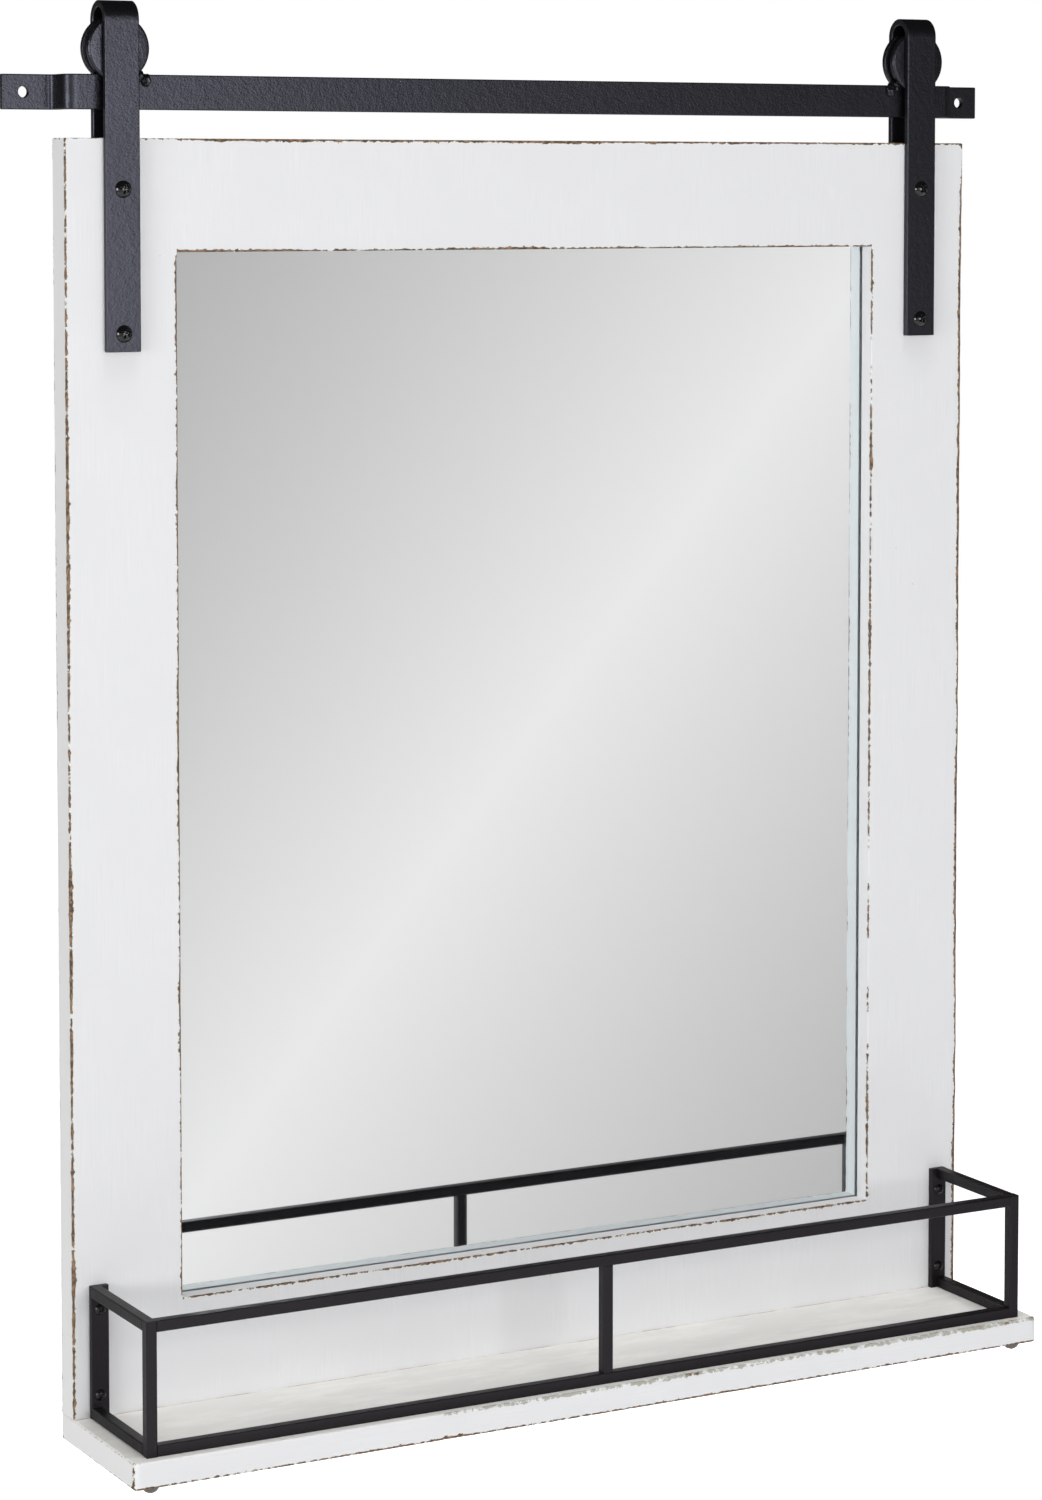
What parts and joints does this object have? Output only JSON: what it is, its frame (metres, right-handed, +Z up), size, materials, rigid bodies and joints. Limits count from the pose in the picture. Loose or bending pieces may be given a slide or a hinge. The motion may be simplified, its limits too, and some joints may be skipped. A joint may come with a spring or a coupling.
{
  "type": "wall mirror with shelf",
  "caption": "Flat wall mirror in a wide wooden frame with a shelf and a steel gallery below, hung by straps bent over grooved wheels from a flat steel rail on the wall.",
  "frame": {"origin": "midway between the two wall holes of the rail, on the face of the wall", "axes": "+X to the right of someone facing the mirror, +Y into the wall, +Z up"},
  "size_m": [0.6096, 0.1099, 0.7649],
  "materials": {
    "white_painted_wood": "white paint, rubbed through to the wood along the edges",
    "mirror": "silvered flat glass",
    "backing": "smooth brown hardboard",
    "bare_wood": "bare beech",
    "rubber": "matt black",
    "zinc_steel": "zinc plated",
    "black_screws": "black oxide, satin",
    "black_steel": "black powder coat with a fine texture"
  },
  "bodies": {
    "root": {"backing_board": "backing", "backing_clips": "zinc_steel", "bottom_rail": "white_painted_wood", "clip_screws": "zinc_steel", "frame_dowels": "bare_wood", "gallery_bottom_bar": "black_steel", "gallery_foot_screws": "zinc_steel", "gallery_left_bottom_side_bar": "black_steel", "gallery_left_front_post": "black_steel", "gallery_left_rear_post": "black_steel", "gallery_left_top_side_bar": "black_steel", "gallery_middle_post": "black_steel", "gallery_post_screws": "black_screws", "gallery_right_bottom_side_bar": "black_steel", "gallery_right_front_post": "black_steel", "gallery_right_rear_post": "black_steel", "gallery_right_top_side_bar": "black_steel", "gallery_top_bar": "black_steel", "left_axle_pin": "zinc_steel", "left_stile": "white_painted_wood", "left_strap": "black_steel", "left_wheel": "black_steel", "mirror_glass": "mirror", "right_axle_pin": "zinc_steel", "right_stile": "white_painted_wood", "right_strap": "black_steel", "right_wheel": "black_steel", "shelf_board": "white_painted_wood", "shelf_screws": "zinc_steel", "strap_screws": "black_screws", "top_rail": "white_painted_wood", "wall_bumpers": "rubber", "wall_rail": "black_steel", "weld_beads": "black_steel"}
  },
  "joints": []
}
